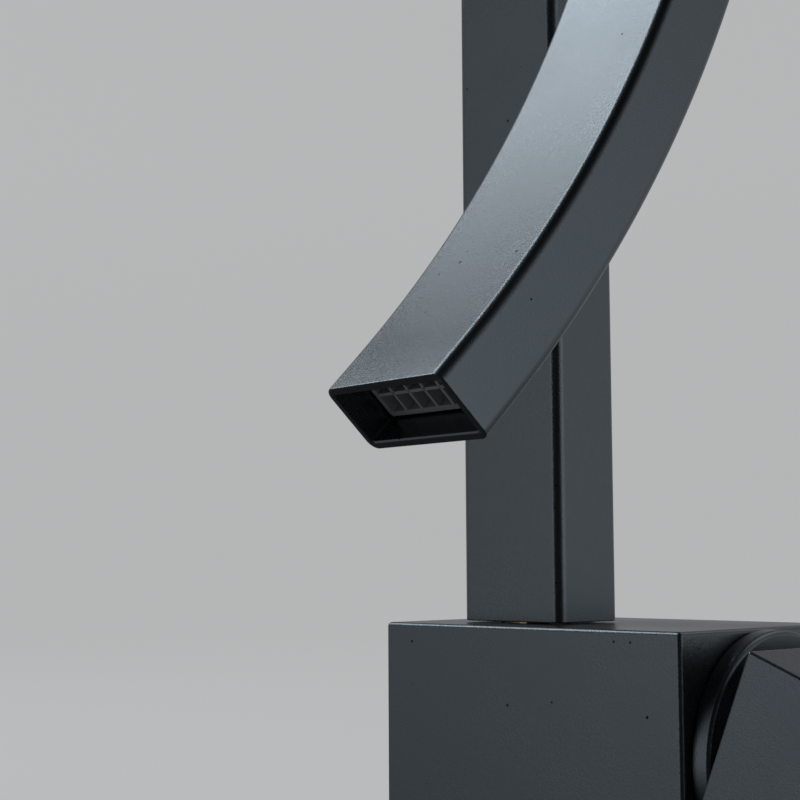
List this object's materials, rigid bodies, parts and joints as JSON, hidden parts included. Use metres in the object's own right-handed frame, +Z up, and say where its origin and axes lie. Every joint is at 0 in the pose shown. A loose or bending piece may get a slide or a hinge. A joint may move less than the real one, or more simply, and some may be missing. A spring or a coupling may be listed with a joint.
{
  "type": "single-lever basin mixer faucet",
  "caption": "Matt dark single-lever basin mixer: block body with side handle, flat rectangular riser, swivelling bridge and curved flat spout.",
  "frame": {"origin": "centre of the 35 mm deck hole, on the body's underside, which rests on the deck", "axes": "+Z up along the riser, +X towards the handle, -Y towards the user (front)"},
  "size_m": [0.1063, 0.1067, 0.3252],
  "materials": {
    "coated_metal": "matt to satin near-black coating with a fine grain",
    "brass": "machined",
    "steel": "plain stainless steel",
    "rubber": "matt",
    "ceramic": "lapped alumina",
    "acetal": "moulded acetal",
    "grey_plastic": "moulded"
  },
  "bodies": {
    "body": {"body_block": "coated_metal", "riser_tube": "coated_metal", "trim_ring": "coated_metal", "inlet_nipple_hot": "brass", "inlet_nipple_cold": "brass", "retaining_nut": "brass", "riser_foot": "brass", "riser_head": "brass", "stud_nut": "brass", "mounting_stud": "steel", "clamp_steel_washer": "steel", "riser_lock_screw": "steel", "swivel_clamp_washer": "steel", "swivel_screw": "steel", "base_gasket": "rubber", "clamp_rubber_washer": "rubber", "inlet_seal_hot": "rubber", "inlet_seal_cold": "rubber", "cartridge_base_seal": "rubber", "riser_foot_seal": "rubber", "swivel_seal_lower": "rubber", "swivel_seal_upper": "rubber", "ceramic_disc_fixed": "ceramic", "cartridge_base": "acetal", "swivel_washer": "acetal", "cartridge_housing": "grey_plastic"},
    "spout_arm": {"bridge_arm": "coated_metal", "spout_tube": "coated_metal", "spout_seal": "rubber", "spout_grub_screw_left": "steel", "spout_grub_screw_right": "steel", "channel_plug": "coated_metal", "swivel_cap": "coated_metal", "flow_straightener": "grey_plastic", "outlet_gasket": "rubber"},
    "rotor": {"stem_rotor": "acetal", "pivot_pin": "steel"},
    "lever": {"lever_stem": "steel", "handle_block": "coated_metal", "handle_grub_screw": "steel", "grub_screw_cap": "grey_plastic"},
    "disc": {"ceramic_disc_moving": "ceramic", "disc_carrier": "acetal"}
  },
  "joints": [
    {"name": "spout_swivel", "type": "hinge", "parent": "body", "child": "spout_arm", "pos_m": [0.00305, -0.0056, 0.2489], "axis": [0, 0, 1], "range_deg": [-82, 98]},
    {"name": "temperature_turn", "type": "hinge", "parent": "body", "child": "rotor", "pos_m": [0.05035, 0, 0.039], "axis": [1, 0, 0], "range_deg": [-45, 45]},
    {"name": "flow_lift", "type": "hinge", "parent": "rotor", "child": "lever", "pos_m": [0.05035, 0, 0.039], "axis": [0, 1, 0], "range_deg": [-22, 0]},
    {"name": "disc_slide", "type": "slide", "parent": "rotor", "child": "disc", "axis": [0, 0, 1], "range_m": [-0.0042, 0]}
  ],
  "couplings": [
    {"joint": "disc_slide", "follows": "flow_lift", "m_per_rad": 0.010732}
  ]
}
